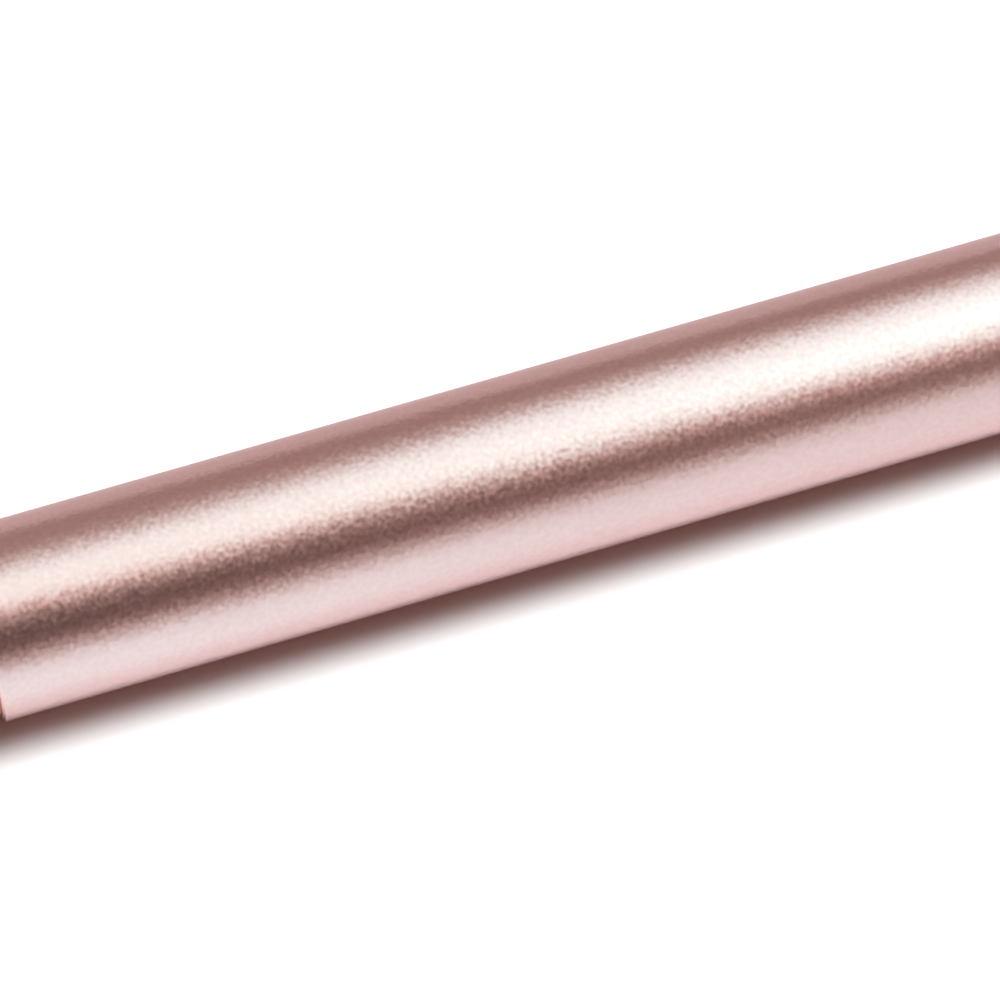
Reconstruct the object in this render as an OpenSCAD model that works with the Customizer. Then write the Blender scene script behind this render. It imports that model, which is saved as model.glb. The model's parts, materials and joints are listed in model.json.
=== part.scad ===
// Sonic T-bar facial massager: a one-cell vibrating bar with a twist-on tail cap.
// It lies along X on the XY plane, the tail at -X and the cross bar at +X.
// Stations along the handle are measured from the tail's end face.

/* [Handle tube] */
// Outside diameter of the drawn aluminium tube
handle_d = 16; // [15.9:0.1:16.4]
// Length of the tube
tube_len = 92; // [91:1:104]
// Wall of the tube
tube_wall = 0.7; // [0.6:0.05:0.7]
// Width of the bright cut on the tube's and the cap's edges
edge_cut = 0.25; // [0.1:0.05:0.3]

/* [Tail cap] */
// Length of the cap that the hand twists
cap_len = 22; // [20:1:28]
// Corner radius round the cap's end face
cap_round = 1.2; // [0.6:0.1:2]
// Width of the seam between the cap and the tube while the cap stands at OFF
seam_w = 0.8; // [0.7:0.05:1]
// Depth of that seam below the tube's surface
seam_depth = 0.15; // [0.15:0.05:0.4]
// Pitch of the cap's thread
thread_pitch = 1; // [0.8:0.1:1.2]

/* [Head] */
// From the tube's front end to the far side of the cross bar
head_len = 37.2; // [36:0.1:40]
// Length of the cross bar
bar_len = 38; // [32:1:46]
// Diameter of the cross bar
bar_d = 12; // [11.5:0.1:12.5]
// Edge radius at the cross bar's ends
bar_round = 3; // [1:0.1:4]
// Diameter of the stem under the cross bar
stem_d = 8.5; // [8:0.1:9]

/* [Cell] */
// Diameter of the AA cell
cell_d = 14.2; // [13.8:0.1:14.3]
// Length of the AA cell over its terminal
cell_len = 50.3; // [49.5:0.1:50.5]

/* [Motor] */
// Diameter of the motor can
motor_d = 12; // [11.6:0.1:12]
// Width of the can across its two flats
motor_flat = 10; // [9.6:0.1:10]
// Length of the can
motor_len = 15; // [14:0.5:15]
// Diameter of the motor shaft
shaft_d = 1.5; // [1:0.1:1.5]
// Radius of the eccentric weight
weight_r = 4.4; // [3.6:0.1:4.4]

/* [Hidden] */
$fn = 96;

handle_r = handle_d / 2;
bore_r = handle_r - tube_wall;
total_len = cap_len + seam_w + tube_len + head_len;
fit = 0.03;             // clearance of a seated piece
run = 0.05;             // clearance of a turning piece
press = 0.01;           // clearance of a pressed piece
hair = 0.02;            // gap that keeps two resting faces apart
lap = 0.1;              // overlap of two parts of one solid
past = 1;               // how far a cut runs past the faces that it opens

// Stations
tube_s0 = cap_len + seam_w;
tube_s1 = tube_s0 + tube_len;
bar_r = bar_d / 2;
bar_s = total_len - bar_r;

// Tail: thread, seal and spring. A quarter turn from OFF to ON closes the gap in front
// of the flange, all but the hair that keeps the two pieces apart.
switch_gap = thread_pitch / 4 + hair;
thread_len = 8.8;
mouth_rise = 0.15;      // the threaded mouth is this much larger than the bore
thread_r = bore_r + mouth_rise;
mouth_s = tube_s0 + thread_len;
flange_r = handle_r - seam_depth;
groove_places = [5.2, 6.6];
groove_w = 0.5;
groove_depth = 0.25;
cap_wall = 1.1;
cap_bore_r = handle_r - cap_wall;
cap_floor = 3;
plug_back = 12;
plug_bore_r = 4.5;
plug_front = mouth_s - 0.5;
plug_chamfer = 0.4;
thread_chamfer = 0.3;
seal_wire = 0.92;
seal_s = tube_s0 + 1;
seal_bed_w = 1.2;
seal_bed_r = thread_r - seal_wire - fit;
spring_wire = 0.7;
spring_big_r = 5;
spring_small_r = 3;
spring_bed_r = spring_big_r + 0.7;
spring_seat = plug_front - 1.5;
spring_len = 6.5;
spring_turns = 5;
closed_turns = 0.8;     // part of a turn that lies level at each end

// Cell: a can in a shrunk film, with the terminal's plate in a step of its front end
cell_r = cell_d / 2;
cell_s0 = spring_seat + spring_len;
cell_s1 = cell_s0 + cell_len;
nub_r = 2.7;
nub_h = 1.2;
film_t = 0.1;
film_lap = 0.9;         // how far the film reaches in over the cell's ends
film_s0 = cell_s0 + 0.25;
film_s1 = cell_s1 - nub_h - 0.1;
negative_r = 4.6;       // the flat that stands out of the cell's back end
terminal_r = 5.8;
terminal_t = 0.5;
terminal_s = film_s1 - film_t - terminal_t;

// Positive contact: a stamped plate with a dimple, whose tab turns through the bulkhead
plate_t = 0.3;
plate_r = 4;
dimple_r = 1.3;
dimple_h = 0.3;
tab_w = 1.6;
tab_bend = 5;           // distance of the turned tab from the axis

// Chassis between the cell and the motor
bulkhead_s = cell_s1 + dimple_h + plate_t;
bulkhead_t = 2.5;
chassis_r = bore_r - 0.05;
rail_t = 0.85;
rail_angle = 50;
slot_gap = 0.15;        // clearance round the tab in its slot
tab_s1 = bulkhead_s + bulkhead_t + 2;
polarity_r = 4.2;
polarity_h = 0.7;
spigot_len = 8.7;
chassis_s1 = tube_s1 - spigot_len;
collar_len = 8;
collar_s = chassis_s1 - collar_len;

// Ground clip: a spring band in a bed round the collar, with an arm and a tab for its lead
clip_t = 0.28;
clip_w = 3;
clip_s = collar_s + 2;
clip_r = bore_r - 0.04;
clip_split = 5;
arm_w = 2.4;
arm_s = collar_s + 0.1;
clip_tab_r = 4.2;
lead_r = 0.5;
lead_sides = 8;

// Motor
motor_s1 = tube_s1 + 0.3;
motor_s0 = motor_s1 - motor_len;
can_t = 0.5;
boot_t = 0.5;
boot_r = motor_d / 2 + boot_t;
bell_t = 1.4;
bell_plug = 1;          // how far the end bell reaches into the can
bell_s = motor_s0 - bell_t;
shaft_r = shaft_d / 2;
boss_r = 2.2;
boss_h = 0.8;
bush_r = 1.6;
bush_len = 2.3;
magnet_len = 9;
magnet_angle = 90;
air_gap = 0.2;
core_len = 8;
core_s = motor_s1 - 11.5;
core_r = 4.1;
core_hub_r = 1.7;
shoe_t = 0.8;
shoe_angle = 94;
pole_w = 1.2;
coil_over = 0.6;        // how far a coil stands out past the core's end
commutator_r = 1.5;
terminal_z = 3.25;      // distance of the motor's terminals from the axis
terminal_end = bell_s - 2.2;
pin_t = 0.3;
brush_s = motor_s0 + 1.3;
weight_s = motor_s1 + 1.6;
weight_len = 4.4;
shaft_s1 = weight_s + weight_len + 0.2;

// Neck and head screw
gasket_t = 0.35;
step_w = 0.5;
neck_s = tube_s1 + gasket_t + step_w;
band_w = 1.1;
shoulder_round = 2.5;
flare_angle = 24;
stem_r = stem_d / 2;
pocket_s = motor_s1 + 0.5;
chamber_r = 5;
chamber_s1 = shaft_s1 + 0.8;
recess_r = 3.2;
screw_r = 1.5;
screw_hole_r = screw_r + 0.1;
head_r = 2.75;
head_h = 2.1;
washer_r = 3;
washer_t = 0.5;
web_s = chamber_s1 + 0.4 + head_h + washer_t;
socket_depth = 2.6;
socket_s = bar_s - bar_r + socket_depth;
key_h = 1.4;
key_w = 5.6;
key_d = stem_d - 1.2;
screw_s1 = socket_s + key_h + 5.5;

// Points of an arc about [r, s], in degrees, for a profile of [radius, station] pairs
function arc(centre, radius, from, to, steps) =
    [for (i = [0:steps]) let (a = from + (to - from) * i / steps)
        centre + radius * [cos(a), sin(a)]];

// A fine turned groove across a cylinder of radius r
function turned_groove(r, s, width, depth) =
    [[r, s - width / 2], [r - depth, s], [r, s + width / 2]];

// Points of a cubic curve between two ends and their two handles
function curve(a, b, c, d, steps) =
    [for (i = [0:steps]) let (t = i / steps, u = 1 - t)
        u * u * u * a + 3 * u * u * t * b + 3 * u * t * t * c + t * t * t * d];

// Stands the children's Z along the handle, with station 0 at the tail. Their +X then points down.
module on_axis() {
    translate([-total_len / 2, 0, handle_r]) rotate([0, 90, 0]) children();
}

// A solid of revolution from pairs of radius and station
module turned(profile) {
    rotate_extrude() polygon(profile);
}

// A cylinder between two stations
module rod(r, from, to) {
    translate([0, 0, from]) cylinder(r = r, h = to - from);
}

// A ring between two radii and two stations
module ring(inner, outer, from, to) {
    difference() {
        rod(outer, from, to);
        rod(inner, from - past, to + past);
    }
}

// A block about the axis: x wide and y wide, between two stations
module slab(x, y, from, to) {
    translate([-x / 2, -y / 2, from]) cube([x, y, to - from]);
}

// A round bar with two flats, as small motors have. The flats face up and down.
module flatted(r, flat, from, to) {
    intersection() {
        rod(r, from, to);
        slab(flat, 2 * (r + past), from, to);
    }
}

// Sweeps a round section of radius r along points, each ring square to the path
module swept(points, r, sides) {
    n = len(points);
    tangent = [for (i = [0:n - 1])
        let (d = points[min(i + 1, n - 1)] - points[max(i - 1, 0)]) d / norm(d)];
    across = [for (i = [0:n - 1])
        let (c = cross(tangent[i], [0.31, 0.17, 0.93])) c / norm(c)];
    rings = [for (i = [0:n - 1], k = [0:sides - 1])
        let (a = 360 * k / sides, up = cross(tangent[i], across[i]))
            points[i] + r * (cos(a) * across[i] + sin(a) * up)];
    walls = [for (i = [0:n - 2], k = [0:sides - 1], half = [0, 1])
        let (a = i * sides + k, b = i * sides + (k + 1) % sides)
            half == 0 ? [a, a + sides, b + sides] : [a, b + sides, b]];
    first = [for (k = [1:sides - 2]) [0, k, k + 1]];
    last = [for (k = [1:sides - 2]) let (o = (n - 1) * sides) [o, o + k + 1, o + k]];
    polyhedron(rings, concat(walls, first, last));
}

module handle_tube() {
    color([0.86, 0.64, 0.61]) on_axis() turned([
        [thread_r, tube_s0], [handle_r - edge_cut, tube_s0], [handle_r, tube_s0 + edge_cut],
        [handle_r, tube_s1 - edge_cut], [handle_r - edge_cut, tube_s1],
        [bore_r, tube_s1], [bore_r, mouth_s + mouth_rise], [thread_r, mouth_s]]);
}

// The cap is a deep cup. Two fine turned grooves give the fingers a hold near its end.
module tail_cap() {
    color([0.86, 0.64, 0.61]) on_axis() turned(concat(
        [[0, 0]],
        arc([handle_r - cap_round, cap_round], cap_round, -90, 0, 8),
        [for (s = groove_places) each turned_groove(handle_r, s, groove_w, groove_depth)],
        [[handle_r, cap_len - edge_cut], [handle_r - edge_cut, cap_len],
         [cap_bore_r, cap_len], [cap_bore_r, cap_floor], [0, cap_floor]]));
}

// Brass plug pressed into the cap. Its flange shows in the seam and closes the circuit
// on the tube's bare rim when the cap is turned to ON.
module thread_plug() {
    flange_s = tube_s0 - switch_gap;
    press_r = cap_bore_r - fit;
    screw_r = thread_r - run;
    bed_s0 = seal_s - seal_bed_w / 2;
    bed_s1 = seal_s + seal_bed_w / 2;
    color([0.78, 0.45, 0.33]) on_axis() turned([
        [plug_bore_r, plug_back], [press_r - plug_chamfer, plug_back],
        [press_r, plug_back + plug_chamfer], [press_r, cap_len],
        [flange_r, cap_len], [flange_r, flange_s], [screw_r, flange_s],
        [screw_r, bed_s0], [seal_bed_r, bed_s0], [seal_bed_r, bed_s1], [screw_r, bed_s1],
        [screw_r, plug_front - thread_chamfer], [screw_r - thread_chamfer, plug_front],
        [spring_bed_r, plug_front], [spring_bed_r, spring_seat],
        [plug_bore_r, spring_seat]]);
}

module cap_seal() {
    color([0.16, 0.15, 0.15]) on_axis() translate([0, 0, seal_s]) rotate_extrude()
        translate([thread_r - hair - seal_wire / 2, 0]) circle(d = seal_wire, $fn = 32);
}

// Conical spring with a closed turn at each end: the pitch rises and falls as a smooth step
module contact_spring() {
    steps = 24 * spring_turns;
    rise = spring_len - spring_wire;
    closed = closed_turns / spring_turns;
    path = [for (i = [0:steps])
        let (t = i / steps, u = min(1, max(0, (t - closed) / (1 - 2 * closed))),
             r = spring_big_r + (spring_small_r - spring_big_r) * u, a = 360 * spring_turns * t)
            [r * cos(a), r * sin(a), spring_seat + spring_wire / 2 + rise * u]];
    color([0.74, 0.74, 0.72]) on_axis() swept(path, (spring_wire - press) / 2, 8);
}

module cell_jacket() {
    inner = cell_r - film_t;
    lip = cell_r - film_lap;
    color([0.15, 0.15, 0.17]) on_axis() turned([
        [lip, film_s0], [cell_r, film_s0], [cell_r, film_s1], [lip, film_s1],
        [lip, film_s1 - film_t], [inner, film_s1 - film_t],
        [inner, film_s0 + film_t], [lip, film_s0 + film_t]]);
}

module cell_can() {
    r = cell_r - film_t - press;
    back = film_s0 + film_t;
    front = film_s1 - film_t;
    step_r = terminal_r + 0.1;
    color([0.7, 0.7, 0.7]) on_axis() turned([
        [0, cell_s0], [negative_r, cell_s0], [negative_r + 0.4, back], [r, back], [r, front],
        [step_r, front], [step_r, terminal_s], [0, terminal_s]]);
}

module cell_terminal() {
    face = terminal_s + terminal_t;
    bend = 0.3;
    color([0.8, 0.8, 0.78]) on_axis() turned([
        [0, terminal_s], [terminal_r, terminal_s], [terminal_r, face],
        [nub_r + bend, face], [nub_r, face + bend], [nub_r, cell_s1 - bend],
        [nub_r - bend, cell_s1], [0, cell_s1]]);
}

// Moulded chassis: a bulkhead with a raised ring that keeps a reversed cell off the
// contact, two rails, and a collar round the motor's back end.
module chassis() {
    ring_s = bulkhead_s - polarity_h;
    slot_w = tab_w + 2 * slot_gap;
    slot_y = tab_bend + plate_t + slot_gap;
    notch_w = arm_w + 0.4;
    color([0.2, 0.2, 0.21]) on_axis() difference() {
        union() {
            rod(chassis_r, bulkhead_s, bulkhead_s + bulkhead_t);
            ring(polarity_r, chassis_r, ring_s, bulkhead_s + lap);
            for (side = [0, 180]) rotate(side + 90 - rail_angle / 2)
                translate([0, 0, bulkhead_s + lap]) rotate_extrude(angle = rail_angle)
                    translate([chassis_r - rail_t, 0])
                        square([rail_t, collar_s - bulkhead_s]);
            ring(boot_r + fit, chassis_r, collar_s, chassis_s1);
        }
        // bed of the ground clip's band, and the notch that lets its arm in
        ring(clip_r - clip_t - fit, bore_r + past, clip_s - run, clip_s + clip_w + run);
        translate([0, -notch_w / 2, collar_s - past])
            cube([bore_r + past, notch_w, clip_s - collar_s + past + 0.2]);
        // way for the positive contact's tab: across the ring, then through the bulkhead
        translate([-slot_w / 2, 0, ring_s - past]) cube([slot_w, slot_y, polarity_h + past]);
        translate([-slot_w / 2, tab_bend - slot_gap, bulkhead_s - past])
            cube([slot_w, plate_t + 2 * slot_gap, bulkhead_t + 2 * past]);
    }
}

// Stamped plate with a dimple towards the cell and a tab through the bulkhead
module positive_contact() {
    plate_s = bulkhead_s - plate_t;
    color([0.8, 0.78, 0.7]) on_axis() {
        turned([[0, cell_s1], [dimple_r, cell_s1], [dimple_r + 2 * dimple_h, plate_s],
                [plate_r, plate_s], [plate_r, bulkhead_s], [0, bulkhead_s]]);
        translate([-tab_w / 2, 0, plate_s]) cube([tab_w, tab_bend + plate_t, plate_t]);
        translate([-tab_w / 2, tab_bend, plate_s]) cube([tab_w, plate_t, tab_s1 - plate_s]);
    }
}

// Spring band that takes the current from the tube, split at the top, with an arm that
// reaches back at the bottom and turns in as a tab for its lead
module ground_clip() {
    front = clip_s + clip_w;
    color([0.8, 0.78, 0.7]) on_axis() difference() {
        union() {
            intersection() {
                ring(clip_r - clip_t, clip_r, arm_s, front);
                union() {
                    slab(2 * bore_r, 2 * bore_r, clip_s, front + past);
                    translate([0, -arm_w / 2, arm_s - past])
                        cube([bore_r, arm_w, front - arm_s]);
                }
            }
            translate([clip_tab_r, -arm_w / 2, arm_s])
                cube([clip_r - clip_t + lap - clip_tab_r, arm_w, clip_t]);
        }
        translate([-bore_r - past, -clip_split / 2, clip_s - past])
            cube([bore_r, clip_split, clip_w + 2 * past]);
    }
}

// The red lead joins the positive contact's tab to the upper motor terminal. Each lead
// starts and ends straight, so that its cut ends lie flat on the tabs.
module lead_positive() {
    from = [0, tab_bend + plate_t / 2, tab_s1];
    to = [-terminal_z, 0, terminal_end];
    stub = [0, 0, 0.4];
    color([0.75, 0.12, 0.1]) on_axis() swept(concat([from], curve(
        from + stub, from + 7 * stub, to - 7 * stub, to - stub, 20), [to]),
        lead_r, lead_sides);
}

// The black lead loops from the ground clip's tab back to the lower motor terminal
module lead_negative() {
    from = [clip_tab_r + 0.9, 0.5, arm_s];
    to = [terminal_z, 0, terminal_end];
    stub = [0, 0, 0.4];
    down_loop = [0.3, 3.2, -6.5];
    up_loop = [-1.2, -3.6, -5.5];
    color([0.12, 0.12, 0.13]) on_axis() swept(concat([from], curve(
        from - stub, from + down_loop, to + up_loop, to - stub, 28), [to]),
        lead_r, lead_sides);
}

module motor_can() {
    r = motor_d / 2;
    color([0.72, 0.73, 0.74]) on_axis() difference() {
        union() {
            flatted(r, motor_flat, motor_s0, motor_s1);
            rod(boss_r, motor_s1 - lap, motor_s1 + boss_h);
        }
        flatted(r - can_t, motor_flat - 2 * can_t, motor_s0 - past, motor_s1 - can_t);
        rod(bush_r + press, motor_s1 - can_t - past, motor_s1 + boss_h + past);
    }
}

// Two sintered bushes: one in the can's boss, one in the end bell
module motor_bushes() {
    color([0.72, 0.55, 0.3]) on_axis() {
        ring(shaft_r + hair, bush_r, motor_s1 + boss_h - bush_len, motor_s1 + boss_h);
        ring(shaft_r + hair, bush_r, bell_s, motor_s0);
    }
}

module motor_magnets() {
    inner = core_r + air_gap;
    outer = motor_d / 2 - can_t - hair;
    color([0.2, 0.2, 0.2]) on_axis() for (side = [0, 180])
        rotate(side + 90 - magnet_angle / 2)
            translate([0, 0, core_s - (magnet_len - core_len) / 2])
                rotate_extrude(angle = magnet_angle)
                    translate([inner, 0]) square([outer - inner, magnet_len]);
}

module motor_end_bell() {
    color([0.93, 0.92, 0.88]) on_axis() difference() {
        union() {
            flatted(motor_d / 2 - hair, motor_flat - 2 * hair, bell_s, motor_s0);
            flatted(motor_d / 2 - can_t - hair, motor_flat - 2 * (can_t + hair),
                    motor_s0 - lap, motor_s0 + bell_plug);
        }
        rod(bush_r + press, bell_s - past, motor_s0 + bell_plug + past);
        for (side = [-1, 1]) translate([side * terminal_z, 0, 0])
            slab(pin_t + 2 * hair, tab_w + 2 * fit, bell_s - past, motor_s0 + bell_plug + past);
    }
}

// Each terminal is a tab through the end bell with a brush turned in to the commutator
module motor_terminals() {
    tip_r = commutator_r + run;
    eye_r = 0.4;
    color([0.8, 0.68, 0.4]) on_axis() for (side = [0, 180]) rotate(side) difference() {
        union() {
            translate([terminal_z, 0, 0]) slab(pin_t, tab_w, terminal_end, brush_s + pin_t);
            translate([tip_r, -tab_w / 2, brush_s]) cube([terminal_z - tip_r, tab_w, pin_t]);
        }
        translate([0, 0, terminal_end + 3 * eye_r])
            rotate([0, 90, 0]) cylinder(r = eye_r, h = motor_d);
    }
}

// Rubber sleeve that keeps the motor tight in the neck
module motor_boot() {
    back = motor_s0 + 1;
    mouth_r = 3.2;
    color([0.25, 0.25, 0.26]) on_axis() difference() {
        rod(boot_r, back, pocket_s);
        flatted(motor_d / 2 + press, motor_flat + 2 * press, back - past, motor_s1);
        rod(mouth_r, back, pocket_s + past);
    }
}

module motor_shaft() {
    color([0.8, 0.8, 0.82]) on_axis() rod(shaft_r, bell_s + 0.2, shaft_s1);
}

// Three-pole stack: hub, spokes and shoes, cut from one round bar
module armature_core() {
    spoke_r = core_hub_r - 0.5;
    spoke_len = core_r - shoe_t + lap - spoke_r;
    color([0.55, 0.56, 0.58]) on_axis() translate([0, 0, core_s]) difference() {
        union() {
            rod(core_hub_r, 0, core_len);
            for (pole = [0:2]) rotate(120 * pole) {
                translate([spoke_r, -pole_w / 2, 0]) cube([spoke_len, pole_w, core_len]);
                rotate(-shoe_angle / 2) rotate_extrude(angle = shoe_angle)
                    translate([core_r - shoe_t, 0]) square([shoe_t, core_len]);
            }
        }
        rod(shaft_r + press, -past, core_len + past);
    }
}

// One winding round each spoke, between the hub and the shoe
module armature_coils() {
    inner = core_hub_r + 0.25;
    outer = core_r - shoe_t - fit;
    coil_w = 2.5;
    coil_s0 = core_s - coil_over;
    coil_s1 = core_s + core_len + coil_over;
    color([0.72, 0.36, 0.16]) on_axis() for (pole = [0:2]) rotate(120 * pole) difference() {
        intersection() {
            rod(outer, coil_s0, coil_s1);
            translate([inner + outer / 2, 0, 0])
                slab(outer, coil_w, coil_s0 - past, coil_s1 + past);
        }
        translate([inner, 0, 0])
            slab(2 * outer, pole_w + 2 * press, core_s - press, core_s + core_len + press);
    }
}

module commutator() {
    from = motor_s0 + bell_plug + run;
    to = core_s - coil_over - lap;
    slot_w = 0.2;
    slot_depth = 0.4;
    color([0.75, 0.45, 0.25]) on_axis() difference() {
        ring(shaft_r + press, commutator_r, from, to);
        for (slot = [0:2]) rotate(60 + 120 * slot)
            translate([commutator_r - slot_depth, -slot_w / 2, from - past])
                cube([slot_depth + past, slot_w, to - from + 2 * past]);
    }
}

// Half-moon weight, hanging down at rest
module eccentric_weight() {
    hub_r = 1.7;
    cut_x = -0.4;
    color([0.42, 0.42, 0.44]) on_axis() translate([0, 0, weight_s]) difference() {
        union() {
            difference() {
                rod(weight_r, 0, weight_len);
                translate([cut_x - weight_r, 0, 0])
                    slab(2 * weight_r, 2 * (weight_r + past), -past, weight_len + past);
            }
            rod(hub_r, 0, weight_len);
        }
        rod(shaft_r + press, -past, weight_len + past);
    }
}

// Turned neck: a spigot in the tube, a shoulder, and a flare that runs down to the stem.
// The flare is an arc that leaves the shoulder's rounding at flare_angle and ends level.
module neck() {
    shoulder = [handle_r - shoulder_round, neck_s + band_w];
    leave = shoulder + shoulder_round * [cos(flare_angle), sin(flare_angle)];
    flare_r = (leave[0] - stem_r) / (1 - cos(flare_angle));
    flare_end = leave[1] + flare_r * sin(flare_angle);
    spigot_r = bore_r - fit;
    edge = 0.1;
    color([0.85, 0.55, 0.46]) on_axis() {
        turned(concat(
            [[boot_r + fit, chassis_s1], [spigot_r, chassis_s1], [spigot_r, tube_s1 + gasket_t],
             [flange_r, tube_s1 + gasket_t], [flange_r, neck_s], [handle_r - edge, neck_s],
             [handle_r, neck_s + edge]],
            arc(shoulder, shoulder_round, 0, flare_angle, 6),
            arc([stem_r + flare_r, flare_end], flare_r, 180 + flare_angle, 180, 20),
            [[stem_r, socket_s], [screw_hole_r, socket_s], [screw_hole_r, web_s],
             [recess_r, web_s], [recess_r, chamber_s1], [chamber_r, chamber_s1],
             [chamber_r, pocket_s], [boot_r + fit, pocket_s]]));
        difference() {
            slab(key_w, key_d, socket_s - lap, socket_s + key_h);
            rod(screw_hole_r, socket_s - past, socket_s + key_h + past);
        }
    }
}

module neck_gasket() {
    color([0.85, 0.84, 0.82]) on_axis()
        ring(bore_r, flange_r, tube_s1, tube_s1 + gasket_t);
}

// The cross bar lies across the handle. The stem's end and its key sit in its back.
module crossbar() {
    half = bar_len / 2;
    drill_over = 0.6;
    color([0.85, 0.55, 0.46]) on_axis() difference() {
        translate([0, 0, bar_s]) rotate([90, 0, 0]) turned(concat(
            [[0, -half]],
            arc([bar_r - bar_round, -half + bar_round], bar_round, -90, 0, 10),
            arc([bar_r - bar_round, half - bar_round], bar_round, 0, 90, 10),
            [[0, half]]));
        rod(stem_r + fit, socket_s - socket_depth - past, socket_s);
        slab(key_w + 2 * fit, key_d + 2 * fit, socket_s - past, socket_s + key_h);
        rod(screw_r + press, socket_s, screw_s1 + drill_over);
    }
}

// Pan-head screw driven through the neck into the cross bar, with a hexagon recess
module head_screw() {
    under = web_s - washer_t;
    crown = 0.85;
    recess_depth = 1.3;
    hexagon_r = 1.15;
    color([0.7, 0.7, 0.72]) on_axis() difference() {
        turned([[0, under - head_h], [head_r - crown, under - head_h],
                [head_r, under - head_h + crown], [head_r, under], [screw_r, under],
                [screw_r, screw_s1], [0, screw_s1]]);
        translate([0, 0, under - head_h - past])
            cylinder(r = hexagon_r, h = recess_depth + past, $fn = 6);
    }
}

module head_washer() {
    color([0.6, 0.6, 0.62]) on_axis() ring(screw_r + run, washer_r, web_s - washer_t, web_s);
}

handle_tube();
neck();
neck_gasket();
crossbar();
head_screw();
head_washer();
motor_boot();
motor_can();
motor_bushes();
motor_magnets();
motor_end_bell();
motor_terminals();
chassis();
positive_contact();
ground_clip();
lead_positive();
lead_negative();
tail_cap();
thread_plug();
cap_seal();
contact_spring();
cell_jacket();
cell_can();
cell_terminal();
motor_shaft();
armature_core();
armature_coils();
commutator();
eccentric_weight();
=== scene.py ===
# %% [markdown]
# # A sonic T-bar facial massager
# This is a slim metal bar. A twist cap at the tail switches it on, one AA cell fills the
# handle, and a small motor in the neck shakes a cross bar that rolls over the face. The
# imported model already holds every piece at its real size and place. This script dresses it:
# finer surfaces where the eye gets close, a finish on every piece, and the plain white
# studio of a product picture.

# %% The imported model
import json
import math

import bmesh
import bpy
import numpy as np
from mathutils import Matrix, Vector


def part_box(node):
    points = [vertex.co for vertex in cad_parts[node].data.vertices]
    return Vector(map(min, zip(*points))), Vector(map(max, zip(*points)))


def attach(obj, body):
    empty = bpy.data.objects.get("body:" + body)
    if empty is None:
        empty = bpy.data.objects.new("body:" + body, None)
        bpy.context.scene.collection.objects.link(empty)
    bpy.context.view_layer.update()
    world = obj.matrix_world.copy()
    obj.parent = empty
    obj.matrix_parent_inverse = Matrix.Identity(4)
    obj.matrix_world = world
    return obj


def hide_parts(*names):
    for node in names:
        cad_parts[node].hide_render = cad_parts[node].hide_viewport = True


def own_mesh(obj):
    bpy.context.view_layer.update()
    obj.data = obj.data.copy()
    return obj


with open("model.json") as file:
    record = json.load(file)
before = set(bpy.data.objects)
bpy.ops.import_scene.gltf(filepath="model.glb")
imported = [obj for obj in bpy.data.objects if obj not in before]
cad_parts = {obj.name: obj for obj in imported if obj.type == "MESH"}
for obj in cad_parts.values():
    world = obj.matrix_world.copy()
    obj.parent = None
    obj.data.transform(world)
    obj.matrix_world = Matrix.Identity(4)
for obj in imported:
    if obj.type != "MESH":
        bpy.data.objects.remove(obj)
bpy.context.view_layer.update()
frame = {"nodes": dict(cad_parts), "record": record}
nodes = frame["nodes"]

# %% [markdown]
# Everything is in metres, but a bar 16 mm thick is easier to think of in millimetres, so
# lengths are written as a number times `mm`. The places along the handle come from the
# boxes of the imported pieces: the script never guesses where a piece is.

# %% Sizes along the handle
mm = 0.001
sliver = 1e-8           # metres: a side or face this small is dropped
tube_back, tube_front = (corner.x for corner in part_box("handle_tube"))
cap_back, cap_front = (corner.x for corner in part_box("tail_cap"))
plug_back, plug_front = (corner.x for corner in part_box("thread_plug"))
neck_back, neck_front = (corner.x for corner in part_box("neck"))
bar_low, bar_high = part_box("crossbar")
handle_r = (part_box("handle_tube")[1].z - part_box("handle_tube")[0].z) / 2
axis_z = handle_r
print("tube", round((tube_front - tube_back) / mm, 2), "mm long, radius", round(handle_r / mm, 2))

# %% [markdown]
# ## Turned pieces
# Nearly every outside piece of this bar comes off a lathe, so one function serves them all.
# An outline is a list of corners, each a place along the handle, a radius and how far the
# corner is eased. A real edge is never perfectly sharp: easing it by a few hundredths of a
# millimetre gives the thin bright line that tells the eye it is metal.

# %% Outlines
def corners(*rows):
    """Rows of (place along the handle, radius, easing) as one array."""
    return np.array([row if len(row) == 3 else (*row, 0.0) for row in rows], float)


def arc_rows(centre, radius, start, end, steps):
    """Rows on an arc: centre plus radius times (sine, cosine) of an angle in degrees."""
    angle = np.radians(np.linspace(start, end, steps + 1))
    x = centre[0] + radius * np.sin(angle)
    r = centre[1] + radius * np.cos(angle)
    return np.stack([x, r, np.zeros_like(x)], 1)


longest_ease = 0.45     # of the shorter side at a corner
no_length = 1e-12


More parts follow.
